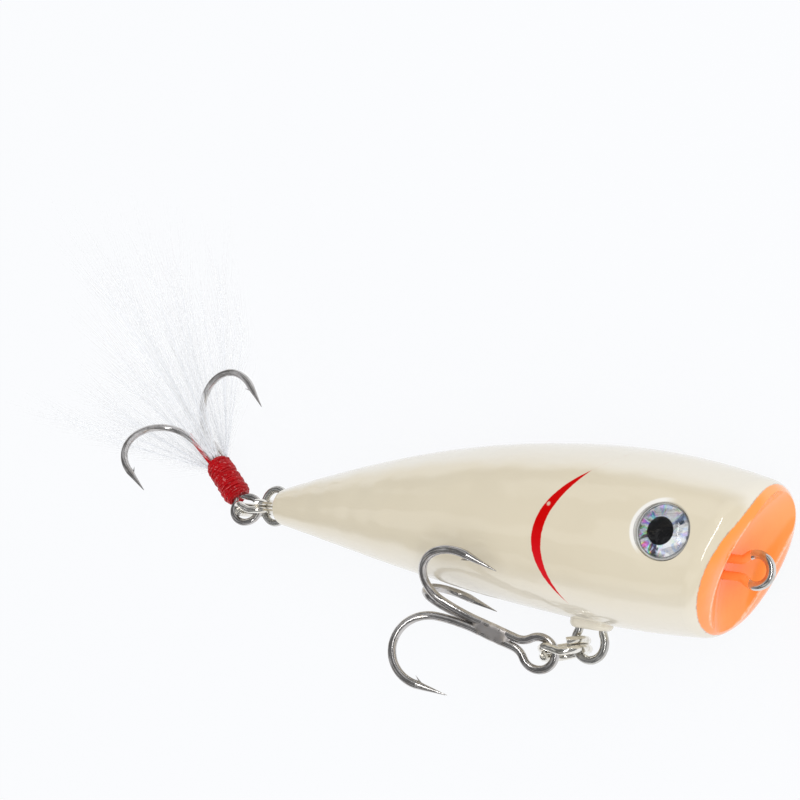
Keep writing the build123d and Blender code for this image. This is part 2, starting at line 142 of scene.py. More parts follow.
# ---------------------------------------------------------------- node graphs
class Graph:
    """Builds the nodes of one material or of the world."""

    def __init__(self, tree):
        self.tree = tree
        tree.nodes.clear()

    def feed(self, socket, value):
        if isinstance(value, bpy.types.NodeSocket):
            self.tree.links.new(value, socket)
        else:
            socket.default_value = value

    def node(self, kind, inputs=None, **settings):
        made = self.tree.nodes.new(kind)
        for key, value in settings.items():
            setattr(made, key, value)
        for key, value in (inputs or {}).items():
            self.feed(made.inputs[key], value)
        return made

    def math(self, operation, *values):
        made = self.node("ShaderNodeMath", operation=operation)
        for socket, value in zip(made.inputs, values):
            self.feed(socket, value)
        return made.outputs[0]

    def step(self, value, low, high, start=0.0, end=1.0):
        """Smooth step of value from low to high."""
        inputs = {"Value": value, "From Min": low, "From Max": high, "To Min": start, "To Max": end}
        made = self.node("ShaderNodeMapRange", inputs, interpolation_type="SMOOTHSTEP")
        return made.outputs["Result"]

    def ramp(self, value, low, high):
        """Straight rise of value from low to high, as 0 to 1."""
        inputs = {"Value": value, "From Min": low, "From Max": high}
        return self.node("ShaderNodeMapRange", inputs, clamp=True).outputs["Result"]

    def length(self, a, b):
        return self.math("SQRT", self.math("MULTIPLY_ADD", a, a, self.math("MULTIPLY", b, b)))

    def mix(self, factor, first, second):
        made = self.node("ShaderNodeMix", {0: factor}, data_type="RGBA")
        self.feed(made.inputs[6], first)
        self.feed(made.inputs[7], second)
        return made.outputs[2]

    def noise(self, place, scale, detail=2.0, roughness=0.5, distortion=0.0):
        inputs = {
            "Vector": place,
            "Scale": scale,
            "Detail": detail,
            "Roughness": roughness,
            "Distortion": distortion,
        }
        return self.node("ShaderNodeTexNoise", inputs).outputs["Fac"]

    def stretch(self, place, factors):
        inputs = {0: place, 1: factors}
        return self.node("ShaderNodeVectorMath", inputs, operation="MULTIPLY").outputs[0]

    def blend(self, factor, first, second):
        """Mixes two shaders."""
        return self.node("ShaderNodeMixShader", {0: factor, 1: first, 2: second}).outputs[0]

    def times(self, *values):
        """Product of two or more values."""
        product = values[0]
        for value in values[1:]:
            product = self.math("MULTIPLY", product, value)
        return product

    def minus(self, first, second):
        return self.math("SUBTRACT", first, second)

    def place(self):
        """Object coordinates in the lure's millimetres: the vector and its parts."""
        coords = self.node("ShaderNodeTexCoord").outputs["Object"]
        inputs = {0: coords, 1: (1 / MM,) * 3, 2: tuple(-SHIFT / MM)}
        made = self.node("ShaderNodeVectorMath", inputs, operation="MULTIPLY_ADD")
        split = self.node("ShaderNodeSeparateXYZ", {0: made.outputs[0]})
        return (made.outputs[0], *split.outputs)

    def bump(self, height, strength=1.0):
        """Normals of a relief whose height is given in millimetres."""
        inputs = {"Height": height, "Distance": MM, "Strength": strength}
        return self.node("ShaderNodeBump", inputs).outputs["Normal"]

    def surface(self, shader):
        self.node("ShaderNodeOutputMaterial", {"Surface": shader})

    def principled(self, **inputs):
        named = {key.replace("_", " "): value for key, value in inputs.items()}
        return self.node("ShaderNodeBsdfPrincipled", named).outputs["BSDF"]


def material(name):
    made = bpy.data.materials.new(name)
    made.use_nodes = True
    return made, Graph(made.node_tree)


# ---------------------------------------------------------------- painted body
def gill_mask(graph, x, y, fuzz):
    """1 inside the curved red stroke behind the eye, on either flank."""
    curve = graph.math("MULTIPLY_ADD", y, 0.0699, 0.119)
    middle = graph.math("MULTIPLY_ADD", curve, y, GILL_AT)
    off = graph.math("ABSOLUTE", graph.minus(x, middle))
    upper = graph.math("POWER", graph.ramp(y, 0.9, GILL_ENDS[0]), 3.4)
    lower = graph.math("POWER", graph.ramp(y, 0.9, GILL_ENDS[1]), 2.0)
    taper = graph.minus(1.0, graph.math("ADD", upper, lower))
    half = graph.math("MULTIPLY_ADD", taper, 0.68, -0.02)
    edge = graph.math("ADD", graph.minus(half, off), fuzz)
    chip = graph.length(graph.minus(x, GILL_CHIP[0]), graph.minus(y, GILL_CHIP[1]))
    return graph.times(graph.step(edge, -0.05, 0.07), graph.step(chip, 0.1, 0.3, 0.25, 1.0))


def gill_red(graph, y, grain):
    red = graph.mix(graph.step(y, 1.5, -4.0), GILL_UPPER, GILL_LOWER)
    return graph.mix(graph.times(grain, 0.15), red, GILL_GRAIN)


def mouth_depth(graph, x, y):
    """Distance behind the mouth's curved face, height along it, and distance before it."""
    normal = (math.cos(MOUTH_LEAN), -math.sin(MOUTH_LEAN))
    centre = [MOUTH_POINT[k] + normal[k] * MOUTH_CURVE for k in (0, 1)]
    radius = graph.length(graph.minus(x, centre[0]), graph.minus(y, centre[1]))
    dx, dy = graph.minus(x, MOUTH_POINT[0]), graph.minus(y, MOUTH_POINT[1])
    along = graph.math("MULTIPLY_ADD", dy, normal[0], graph.times(dx, -normal[1]))
    front = graph.math("MULTIPLY_ADD", dy, normal[1], graph.times(dx, normal[0]))
    return graph.minus(radius, MOUTH_CURVE), along, front


def cup_reach(graph, along, front, z):
    """1 on the hollow's oval surface, more outside it."""
    upright = graph.times(along, CUP_HALF_WIDTH / CUP_HALF_HEIGHT)
    deep = graph.minus(front, CUP_CURVE - CUP_DEPTH)
    return graph.times(graph.length(graph.length(upright, z), deep), 1 / CUP_CURVE)


def eye_place(graph, x, y, aside=0.0):
    """Radius, and distances from the middle of an eye, moved aside towards the tail."""
    dx = graph.minus(x, EYE_CENTRE[0] - aside)
    dy = graph.minus(y, EYE_CENTRE[1])
    return graph.length(dx, dy), dx, dy


def bone_with_painted_reflections(graph, place, x, y, z, grain):
    """Bone in the middle of each flank; towards the back and the belly, where the surface faces up
    or down, paler colour is a painted reflection of the white surroundings.
    """
    bone = graph.mix(graph.noise(place, 0.11, 2.0), BONE_DARK, BONE_LIGHT)
    share = graph.math("MULTIPLY_ADD", x, 2 / BODY_LENGTH, -1.0)
    spine = graph.math("MULTIPLY_ADD", graph.times(share, share), -BACK_ARCH, BACK_ARCH)
    rise = graph.minus(y, spine)
    level = graph.math("DIVIDE", rise, graph.length(rise, z))
    patch = graph.noise(graph.stretch(place, (0.35, 1.0, 1.0)), 0.5, 3.0)
    level = graph.math("ADD", level, graph.math("MULTIPLY_ADD", patch, 0.16, -0.08))
    # painted reflection: paler where the flank turns up to the back or down to the belly
    bone = graph.mix(graph.step(level, 0.58, 0.82, 0.0, 0.6), bone, BACK_PAINTED_REFLECTION)
    bone = graph.mix(graph.step(level, -0.4, -0.85, 0.0, 0.5), bone, BELLY_PAINTED_REFLECTION)
    return graph.mix(graph.times(grain, 0.06), bone, BONE_GRAIN)


def eye_surround(graph, colour, x, y):
    """A painted highlight on the lacquer pooled on the tail side of each eye, and a thin shade
    round the dome.
    """
    radius, dx, dy = eye_place(graph, x, y)
    highlight_ring = graph.times(graph.step(radius, 3.42, 3.2), graph.step(radius, 2.7, 2.8))
    behind = graph.math("MULTIPLY_ADD", dy, 0.5, graph.times(dx, -1.0))
    behind = graph.step(graph.math("DIVIDE", behind, radius), 0.15, 0.75)
    # painted highlight: a pale crescent on the tail side of the eye
    colour = graph.mix(graph.times(highlight_ring, behind, 0.8), colour, POOLED_LACQUER_PAINTED_HIGHLIGHT)
    off = graph.math("ABSOLUTE", graph.minus(radius, EYE_RADIUS))
    return graph.mix(graph.step(off, 0.09, 0.02, 0.0, 0.5), colour, EYE_SHADE)


def mouth_orange(graph, place, depth, along, z):
    """Fluorescent orange, with painted light making it paler at the top and painted shade making it
    redder in the hollow's lower half.
    """
    streak = graph.noise(graph.stretch(place, (1.0, 0.3, 1.0)), 0.9, 3.0)
    orange = graph.mix(streak, ORANGE, ORANGE_STREAK)
    # painted light: paler towards the top
    orange = graph.mix(graph.step(along, -0.5, 5.5, 0.0, 0.8), orange, ORANGE_PAINTED_TOP_LIGHT)
    # painted shade: redder deep in the hollow's lower half
    hollow = graph.times(graph.step(depth, 0.8, 2.2), graph.step(along, 0.5, -2.5), 0.75)
    orange = graph.mix(hollow, orange, ORANGE_PAINTED_HOLLOW_SHADE)
    flank = graph.times(graph.step(z, 2.6, 4.2), graph.step(depth, 1.6, 0.7))
    flank = graph.times(flank, graph.step(along, -2.2, -0.6), 0.8)
    return graph.mix(flank, orange, ORANGE_FLANK)


def mouth_coat(graph, colour, place, x, y, z, grain, fuzz):
    """Colour with the mouth painted, where the orange lies, and the orange itself."""
    depth, along, front = mouth_depth(graph, x, y)
    rise = graph.math("POWER", graph.ramp(along, 2.0, 7.6), 2.2)
    limit = graph.math("MULTIPLY_ADD", rise, 1.6, 0.47)
    outside = graph.math("ADD", graph.minus(limit, depth), fuzz)
    reach = cup_reach(graph, along, front, z)
    cup = graph.step(reach, 1.03, 1.015)
    mouth = graph.math("MAXIMUM", graph.step(outside, -0.04, 0.05), cup)
    # Pale line along the crest: partly rubbed paint, partly a painted highlight where the edge
    # catches the light.
    crest = graph.times(graph.step(depth, 0.16, 0.05), graph.step(reach, 1.04, 1.025))
    rub_and_highlight = graph.times(crest, graph.step(grain, 0.4, 0.6, 0.2, 0.6))
    orange = graph.mix(rub_and_highlight, mouth_orange(graph, place, depth, along, z), ORANGE_RUB_AND_HIGHLIGHT)
    colour = graph.mix(mouth, colour, orange)
    seam = graph.minus(1.0, graph.step(graph.math("ABSOLUTE", outside), 0.0, 0.07))
    speck = graph.step(graph.noise(place, 1.8, 2.0), 0.42, 0.66, 0.15, 0.55)
    dirt = graph.times(seam, graph.minus(1.0, cup), speck)
    return graph.mix(dirt, colour, SEAM_DIRT), mouth, orange


def lacquer_relief(graph, place, z, mouth):
    """Long waves and orange peel in the lacquer, the shells' joint, and the orange coat's edge."""
    peel = graph.noise(place, 0.8, 2.0)
    wave = graph.noise(place, 0.16, 1.0)
    height = graph.math("MULTIPLY_ADD", peel, 0.004, graph.times(wave, 0.35))
    joint = graph.minus(1.0, graph.step(graph.math("ABSOLUTE", z), 0.0, 0.09))
    height = graph.math("MULTIPLY_ADD", joint, -0.012, height)
    return graph.bump(graph.math("MULTIPLY_ADD", mouth, 0.02, height))


def body_paint():
    made, graph = material("painted_bone_shell")
    place, x, y, z = graph.place()
    grain = graph.noise(place, 2.2, 4.0, 0.6)
    fuzz = graph.math("MULTIPLY_ADD", grain, 0.16, -0.08)
    gill = gill_mask(graph, x, y, fuzz)
    colour = bone_with_painted_reflections(graph, place, x, y, z, grain)
    colour = graph.mix(gill, colour, gill_red(graph, y, grain))
    colour = eye_surround(graph, colour, x, y)
    colour, mouth, orange = mouth_coat(graph, colour, place, x, y, z, grain, fuzz)
    normal = lacquer_relief(graph, place, z, mouth)
    graph.surface(
        graph.principled(
            Base_Color=colour,
            Roughness=graph.math("MULTIPLY_ADD", grain, 0.1, 0.3),
            IOR=1.5,
            Specular_IOR_Level=graph.math("MULTIPLY_ADD", gill, -0.17, 0.2),
            Coat_Weight=graph.math("MULTIPLY_ADD", gill, -0.95, 1.0),
            Coat_Roughness=0.02,
            Coat_IOR=1.6,
            Normal=normal,
            Coat_Normal=normal,
            # painted glow on the orange paint
            Emission_Color=graph.mix(mouth, BLACK, orange),
            Emission_Strength=FLUORESCENT_PAINTED_GLOW,
        )
    )
    return made


# ---------------------------------------------------------------- metals
def metal(name, colour, dark, roughness, scale=6.0, tint=(0.6, 0.5, 0.36), paint=None):
    """Plated wire with drawing marks and faint stains; orange paint covers it behind x = paint."""
    made, graph = material(name)
    place, x, _, _ = graph.place()
    stain = graph.step(graph.noise(place, 0.9, 3.0), 0.42, 0.72)
    fine = graph.noise(place, scale, 4.0, 0.65)
    base = graph.mix(stain, (*colour, 1), (*dark, 1))
    warm = graph.step(graph.noise(place, 1.7, 2.0), 0.52, 0.75, 0.0, 0.35)
    base = graph.mix(warm, base, (*tint, 1))
    rough = graph.math("MULTIPLY_ADD", fine, 0.14, roughness)
    height = graph.math("MULTIPLY_ADD", fine, 0.004, graph.times(stain, 0.006))
    bare, glow = 1.0, BLACK
    if paint is not None:
        edge = graph.math("MULTIPLY_ADD", stain, 0.25, x)
        covered = graph.step(edge, paint + 0.03, paint - 0.03)
        orange = graph.mix(fine, ORANGE_THIN, ORANGE_THICK)
        base = graph.mix(covered, base, orange)
        bare = graph.minus(1.0, covered)
        rough = graph.math("MULTIPLY_ADD", covered, 0.3, rough)
        # the paint on the wire gets the same painted glow
        glow = graph.mix(covered, BLACK, orange)
    graph.surface(
        graph.principled(
            Base_Color=base,
            Metallic=bare,
            Roughness=rough,
            Normal=graph.bump(height),
            Emission_Color=glow,
            Emission_Strength=FLUORESCENT_PAINTED_GLOW,
        )
    )
    return made


# ---------------------------------------------------------------- lure's eyes
def foil_colour(graph, radius, dx, dy):
    """Bright and dark rays with rainbow flecks on the tail side, and a facet pattern."""
    angle = graph.math("ARCTAN2", dy, dx)
    turn = [graph.math("COSINE", angle), graph.math("SINE", angle), graph.times(radius, 0.22)]
    wide = graph.node("ShaderNodeCombineXYZ", dict(enumerate(turn))).outputs[0]
    ray = graph.noise(wide, 1.7, 2.0, 0.5, 0.4)
    facet = graph.noise(wide, 4.2, 3.0, 0.65, 0.5)
    bright = graph.step(graph.math("MULTIPLY_ADD", facet, 0.45, ray), 0.63, 0.74)
    silver = graph.mix(bright, (0.05, 0.07, 0.12, 1), (1.0, 1.0, 1.0, 1))
    silver = graph.mix(graph.step(facet, 0.5, 0.6, 0.0, 0.55), silver, (0.42, 0.6, 0.95, 1))
    hue = graph.math("FRACT", graph.math("MULTIPLY_ADD", ray, 5.0, graph.times(radius, 0.5)))
    rainbow = graph.node("ShaderNodeCombineColor", {0: hue, 1: 0.8, 2: 1.0}, mode="HSV").outputs[0]
    fleck = graph.step(graph.noise(wide, 3.0, 2.0), 0.48, 0.6, 0.08, 0.9)
    fleck = graph.times(fleck, graph.step(dx, 0.6, -1.2, 0.25, 1.0))
    return graph.mix(fleck, silver, rainbow), facet


def eye_foil():
    """Holographic foil with a grey rim and a black pupil."""
    made, graph = material("holographic_foil")
    _, x, y, _ = graph.place()
    radius, dx, dy = eye_place(graph, x, y, PUPIL_ASIDE)
    iris, facet = foil_colour(graph, radius, dx, dy)
    whole, _, _ = eye_place(graph, x, y)
    iris = graph.mix(graph.step(whole, 2.55, 2.7), iris, (0.3, 0.32, 0.34, 1))
    oval = graph.length(graph.times(dx, 1 / PUPIL[0]), graph.times(dy, 1 / PUPIL[1]))
    pupil = graph.step(oval, 1.03, 0.97)
    graph.surface(
        graph.principled(
            Base_Color=graph.mix(pupil, iris, (0.003, 0.003, 0.004, 1)),
            Metallic=graph.times(graph.minus(1.0, pupil), 0.15),
            Roughness=graph.math("MULTIPLY_ADD", facet, 0.25, 0.2),
            Normal=graph.bump(facet, 0.15),
        )
    )
    return made


def clear_dome():
    """Cast resin: clear, with a grey line near its edge and a rim painted with a pale reflection
    towards the tail and grey shade elsewhere.
    """
    made, graph = material("clear_resin")
    place, x, y, _ = graph.place()
    radius, dx, dy = eye_place(graph, x, y)
    ripple = graph.noise(place, 0.8, 1.0)
    normal = graph.bump(ripple, 0.12)
    line = graph.minus(radius, graph.math("MULTIPLY_ADD", ripple, 0.1, 2.56))
    line = graph.step(graph.math("ABSOLUTE", line), 0.07, 0.01)
    # painted reflection on the rim towards the tail, painted shade on the rest of the rim
    behind = graph.step(graph.math("MULTIPLY_ADD", dy, -0.35, dx), 0.9, -1.2)
    rim_reflection_and_shade = graph.mix(behind, (0.55, 0.54, 0.52, 1), (0.95, 0.96, 0.96, 1))
    edge = graph.mix(line, rim_reflection_and_shade, (0.16, 0.17, 0.18, 1))
    rim = graph.step(radius, 2.6, 2.72, 0.0, 0.85)
    share = graph.math("MAXIMUM", graph.times(line, 0.6), rim)
    clear = graph.node("ShaderNodeBsdfTransparent", {"Color": (0.98, 0.985, 0.99, 1)}).outputs[0]
    body = graph.blend(share, clear, graph.principled(Base_Color=edge, Roughness=0.25))
    gloss = graph.node("ShaderNodeBsdfGlossy", {"Roughness": 0.02, "Normal": normal}).outputs[0]
    fresnel = graph.node("ShaderNodeFresnel", {"IOR": 1.45, "Normal": normal}).outputs[0]
    outer = graph.minus(1.0, graph.node("ShaderNodeNewGeometry").outputs["Backfacing"])
    graph.surface(graph.blend(graph.times(fresnel, outer), body, gloss))
    return made


# ---------------------------------------------------------------- thread and feathers
def red_thread(name, gloss):
    """Red thread with glints painted into its colour; gloss is the weight of the varnish and of
    those painted glints.
    """
    made, graph = material(name)
    place = graph.place()[0]
    fibre = graph.noise(place, 9.0, 3.0, 0.6)
    patch = graph.noise(place, 0.8, 2.0)
    colour = graph.mix(patch, (0.28, 0.0, 0.0005, 1), (0.58, 0.001, 0.004, 1))
    colour = graph.mix(graph.times(fibre, 0.25), colour, (0.68, 0.015, 0.03, 1))
    # painted highlight: sparse pale glints on the thread
    painted_glint = graph.step(graph.noise(place, 2.6, 3.0, 0.6, 1.2), 0.6, 0.68, 0.0, gloss)
    height = graph.math("MULTIPLY_ADD", fibre, 0.02, graph.times(patch, 0.2))
    varnish = graph.times(graph.noise(place, 1.6, 2.0), 0.6)
    graph.surface(
        graph.principled(
            Base_Color=graph.mix(painted_glint, colour, (0.95, 0.5, 0.5, 1)),
            Roughness=graph.math("MULTIPLY_ADD", fibre, 0.2, 0.4),
            Specular_IOR_Level=0.05,
            Coat_Weight=gloss,
            Coat_Roughness=0.03,
            Coat_IOR=1.42,
            Normal=graph.bump(height),
            Coat_Normal=graph.bump(varnish),
        )
    )
    return made


def white_barbs():
    """Soft barbs: white, almost clear, thinning to their ends."""
    made, graph = material("white_feather_barbs")
    place = graph.place()[0]
    coords = graph.node("ShaderNodeTexCoord").outputs["UV"]
    along = graph.node("ShaderNodeSeparateXYZ", {0: coords}).outputs[0]
    colour = graph.mix(graph.noise(place, 0.5, 3.0), (0.93, 0.94, 0.96, 1), (1.0, 1.0, 1.0, 1))
    soft = graph.node("ShaderNodeBsdfTranslucent", {"Color": colour}).outputs[0]
    face = graph.principled(
        Base_Color=colour,
        Roughness=0.6,
        Specular_IOR_Level=0.3,
        Sheen_Weight=0.3,
        # painted glow: emission that lifts the shade between the barbs
        Emission_Color=(1, 1, 1, 1),
        Emission_Strength=0.3,
    )
    clear = graph.node("ShaderNodeBsdfTransparent").outputs[0]
    thin = graph.step(graph.noise(place, 2.0, 2.0), 0.25, 0.6, 0.55, 1.0)
    share = graph.times(graph.step(along, 0.0, 1.0, 0.3, 0.04), thin)
    graph.surface(graph.blend(share, clear, graph.blend(0.5, face, soft)))
    return made


def white_quill():
    """Quill: thin, grey against the white, half clear."""
    made, graph = material("white_feather_quill")
    tone = graph.noise(graph.place()[0], 1.5, 2.0)
    graph.surface(
        graph.principled(
            Base_Color=graph.mix(tone, (0.55, 0.57, 0.62, 1), (0.9, 0.92, 0.95, 1)),
            Roughness=graph.math("MULTIPLY_ADD", tone, 0.2, 0.3),
            Alpha=0.62,
            # painted glow: emission that lifts the quill's shade
            Emission_Color=(1, 1, 1, 1),
            Emission_Strength=0.15,
            Normal=graph.bump(tone, 0.05),
        )
    )
    return made


# ---------------------------------------------------------------- meshes
def unit(vector):
    return vector / np.linalg.norm(vector)


def skin(rings, sides, start=0):
    """Faces and UVs over rings of vertices that are numbered from start."""
    faces, coords = [], []
    for k in range(rings - 1):
        this, further = start + k * sides, start + (k + 1) * sides
        low, high = k / (rings - 1), (k + 1) / (rings - 1)
        for a in range(sides):
            b = (a + 1) % sides
            left, right = a / sides, (a + 1) / sides
            faces.append([this + a, this + b, further + b, further + a])
            coords += [(low, left), (low, right), (high, right), (high, left)]
    return faces, coords


def tube(path, radii, sides, start):
    """Vertices, faces and UVs of a closed tube along path, with numbering from start."""
    path = np.asarray(path, float)
    count = len(path)
    heading = np.gradient(path, axis=0)
    heading /= np.linalg.norm(heading, axis=1)[:, None]
    turn = np.linspace(0, 2 * np.pi, sides, endpoint=False)[:, None]
    side = unit(np.cross(heading[0], (0.31, 0.57, 0.76)))
    rings = []
    for k in range(count):
        side = unit(side - heading[k] * np.dot(side, heading[k]))
        other = np.cross(heading[k], side)
        rings.append(path[k] + radii[k] * (np.cos(turn) * side + np.sin(turn) * other))
    faces, coords = skin(count, sides, start)
    for ring, order in ((0, -1), (count - 1, 1)):
        faces.append([start + ring * sides + s for s in range(sides)][::order])
        coords += [(ring / (count - 1), 0.5)] * sides
    return np.concatenate(rings), faces, coords


def lifted(path):
    """The path, kept off the floor."""
    path = np.asarray(path, float)
    path[:, 2] = np.maximum(path[:, 2], FLOOR_GAP * MM)
    return path


class Piece:
    """Gathers tubes and ribbons into one mesh object."""

    def __init__(self):
        self.verts, self.faces, self.coords, self.slots = [], [], [], []
        self.count = 0

    def add(self, verts, faces, coords, slot=0):
        self.verts.append(verts)
        self.faces += faces
        self.coords += coords
        self.slots += [slot] * len(faces)
        self.count += len(verts)

    def tube(self, path, radii, sides, slot=0):
        self.add(*tube(path, radii, sides, self.count), slot)

    def ribbon(self, path, widths, across):
        """Flat strip along path, kept off the floor; across is its cross direction."""
        path = lifted(path)
        half = np.asarray(widths)[:, None] * across / 2
        count = len(path)
        verts = np.empty((2 * count, 3))
        verts[0::2] = path - half
        verts[1::2] = path + half
        base = self.count
        faces, coords = [], []
        for k in range(count - 1):
            a = base + 2 * k
            faces.append([a, a + 1, a + 3, a + 2])
            low, high = k / (count - 1), (k + 1) / (count - 1)
            coords += [(low, 0), (low, 1), (high, 1), (high, 0)]
        self.add(verts, faces, coords)

    def build(self, name, materials):
        mesh = bpy.data.meshes.new(name)
        verts = np.concatenate(self.verts)
        mesh.from_pydata([tuple(v) for v in verts], [], self.faces)
        layer = mesh.uv_layers.new(name="UVMap")
        layer.data.foreach_set("uv", np.array(self.coords, np.float32).ravel())
        for made in materials:
            mesh.materials.append(made)
        mesh.polygons.foreach_set("material_index", np.array(self.slots, np.int32))
        mesh.polygons.foreach_set("use_smooth", np.full(len(self.faces), True))
        mesh.update()
        made = bpy.data.objects.new(name, mesh)
        bpy.context.scene.collection.objects.link(made)
        return made


def node_points(name):
    return np.array([v.co for v in nodes[name].data.vertices], float)


def long_axis(points):
    """Middle of the points, halfway between their ends, and their three main directions."""
    middle = points.mean(axis=0)
    _, _, axes = np.linalg.svd(points - middle, full_matrices=False)
    spread = (points - middle) @ axes[0]
    return middle + axes[0] * (spread.max() + spread.min()) / 2, axes


def thread_axis():
    """Middle of the wrap and unit vector from the hook eye towards the bends."""
    centre, axes = long_axis(node_points("thread_wrap"))
    feathers = node_points("feather_1").mean(axis=0)
    return centre, axes[0] if np.dot(feathers - centre, axes[0]) > 0 else -axes[0]


def wrap_radius(t):
    """Radius of the whipping at the share t of its length."""
    shoulder = math.sqrt(max(0.0, 1 - max(0.0, 1 - min(t, 1 - t) / 0.16) ** 2))
    swell = 0.05 * math.sin(5.2 * t + 0.7) + 0.03 * math.sin(11.0 * t)
    return (WRAP_RADIUS + WRAP_BELLY * shoulder + swell) * MM


# One row for each run of thread: start and end as shares of the length, number of turns, height
# above the whipping, radius as a share of the thread's, and unevenness
THREAD_RUNS = (
    (0.0, 1.0, 27, 0.0, 1.0, 0.006),
    (0.94, 0.06, 8, 0.1, 1.0, 0.016),
    (0.08, 0.86, 5, 0.14, 0.95, 0.02),
    (0.92, 0.3, 3, 0.18, 0.95, 0.022),
    (0.66, 0.98, 4, 0.14, 0.9, 0.014),
)


def make_wrap():
    """Whipping: close turns of thread, then crossing turns on top, under varnish."""
    draw = random.Random(7)
    centre, axis = thread_axis()
    centre = centre - axis * 0.35 * MM
    first = unit(np.cross(axis, (0, 0, 1.0)))
    second = np.cross(axis, first)

    def middle(t):
        return centre + axis * WRAP_LENGTH * MM * (t - 0.5)

    piece = Piece()
    shares = [k / 24 for k in range(25)]
    core = [wrap_radius(min(max(t, 0.02), 0.98)) - 0.02 * MM for t in shares]
    piece.tube([middle(t) for t in shares], core, 28)
    for start, end, count, lift, thickness, wobble in THREAD_RUNS:
        steps = count * 36
        phase = draw.random() * 6
        path = []
        for k in range(steps + 1):
            angle = 2 * math.pi * count * k / steps + phase
            uneven = math.sin(angle * 0.37 + phase) + 0.5 * math.sin(angle * 1.7)
            t = start + (end - start) * k / steps + wobble * uneven
            t = min(max(t, 0.012), 0.988)
            outwards = first * math.cos(angle) + second * math.sin(angle)
            path.append(middle(t) + (wrap_radius(t) + lift * MM) * outwards)
        piece.tube(path, [THREAD * thickness * MM] * len(path), 7)
    made = piece.build("wrap_thread_turns", [red_thread("varnished_red_thread", 0.5)])
    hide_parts("thread_wrap")
    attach(made, "tail_treble")


def shank_section(treble, middle, axes):
    """Where the wires of a treble cross the plane through middle, square to axes[0]."""
    cut = []
    for hook in (treble + "_double_hook", treble + "_single_hook"):
        spots = node_points(hook) - middle
        for edge in nodes[hook].data.edges:
            a, b = spots[edge.vertices[0]], spots[edge.vertices[1]]
            low, high = a @ axes[0], b @ axes[0]
            if low * high < 0:
                spot = a + (b - a) * low / (low - high)
                if np.linalg.norm(spot) < 1.5 * MM:
                    cut.append((spot @ axes[1], spot @ axes[2]))
    return cut


def hull_reach(hull, way):
    """Distance from the origin to the closed line hull, in the direction way."""
    reach = 0.0
    for a, b in zip(hull, np.roll(hull, -1, axis=0)):
        side = b - a
        bottom = way[0] * side[1] - way[1] * side[0]
        if abs(bottom) > 1e-12:
            far = (a[0] * side[1] - a[1] * side[0]) / bottom
            share = (a[0] * way[1] - a[1] * way[0]) / bottom
            if far > 0 and -1e-6 <= share <= 1 + 1e-6:
                reach = max(reach, far)
    return reach


# Distance from the middle of the braze, and its size against the section of the three shanks
BRAZE_HALF = ((0.0, 1.012), (0.75, 1.0), (1.4, 1.01), (1.8, 0.93), (2.05, 0.78), (2.3, 0.5))


def make_braze_run(treble):
    """Filler metal that has run over the shanks of a treble, thinning out at both ends."""
    draw = random.Random(5)
    middle, axes = long_axis(node_points(treble + "_hook_braze"))
    cut = shank_section(treble, middle, axes)
    hull = np.array([cut[k] for k in convex_hull_2d(cut)])
    turns = [2 * math.pi * k / BRAZE_SIDES for k in range(BRAZE_SIDES)]
    ways = [np.array((math.cos(turn), math.sin(turn))) for turn in turns]
    outline = np.array([way * hull_reach(hull, way) for way in ways])
    rings = []
    for t, size in [(-t, size) for t, size in BRAZE_HALF[:0:-1]] + list(BRAZE_HALF):
        ring = outline * (size + draw.uniform(-0.008, 0.008))
        rings.append(middle + axes[0] * t * MM + ring @ axes[1:])
    piece = Piece()
    piece.add(np.concatenate(rings), *skin(len(rings), BRAZE_SIDES))
    metal_run = metal("run_braze", (0.7, 0.66, 0.64), (0.52, 0.49, 0.47), 0.3, 2.2)
    made = piece.build(treble + "_braze_run", [metal_run])
    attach(made, treble + "_treble")


def strand_line(name):
    """Root, tip, cross direction and facing of a CAD strand or leaf."""
    points = node_points(name)
    near = np.linalg.norm(points - thread_axis()[0], axis=1)
    root = points[near < near.min() + 0.35 * MM].mean(axis=0)
    far = np.linalg.norm(points - root, axis=1)
    tip = points[far > far.max() - 0.15 * MM].mean(axis=0)
    _, axes = long_axis(points)
    along = unit(tip - root)
    facing = unit(axes[2] - along * np.dot(axes[2], along))
    return root, tip, np.cross(facing, along), facing


def make_tag():
    """Loose red strands beside the feathers."""
    draw = random.Random(11)
    root, tip, across, facing = strand_line("red_tag")
    along = tip - root
    size = np.linalg.norm(along)
    piece = Piece()
    for number in range(9):
        lean = draw.uniform(-0.09, 0.09)
        lift = draw.uniform(-0.06, 0.06)
        reach = draw.uniform(0.62, 1.05)
        start = root - along * 0.12
        start = start + (across * draw.uniform(-0.22, 0.22) + facing * draw.uniform(-0.2, 0.2)) * MM
        path, radii = [], []
        for k in range(13):
            t = k / 12
            side = lean * size * t * t + 0.1 * MM * math.sin(5 * t + number)
            path.append(start + along * reach * t + across * side + facing * lift * size * t)
            radii.append((STRAND - 0.13 * t) * MM)
        piece.tube(path, radii, 6)
    made = piece.build("red_tag_strands", [red_thread("loose_red_strand", 0.2)])
    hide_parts("red_tag")
    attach(made, "tail_treble")


def barb(piece, draw, spot, axes, side, reach, angle, curl, width):
    """One soft barb that leaves spot at angle and curls back towards the feather's tip."""
    along, across, facing = axes
    tilt = draw.uniform(-0.16, 0.16)
    phase = draw.uniform(0, 6)
    path = [spot]
    for k in range(BARB_STEPS):
        t = (k + 0.5) / BARB_STEPS
        turned = angle * (1 - curl * t)
        move = along * math.cos(turned) + across * side * math.sin(turned)
        move = move + facing * (tilt * t + 0.05 * math.sin(3 * t + phase))
        spot = spot + move * reach / BARB_STEPS
        path.append(spot)
    roll = draw.uniform(0, math.pi)
    flat = across * math.cos(roll) + facing * math.sin(roll)
    widths = [width * (1 - 0.75 * k / BARB_STEPS) for k in range(BARB_STEPS + 1)]
    piece.ribbon(path, widths, flat)


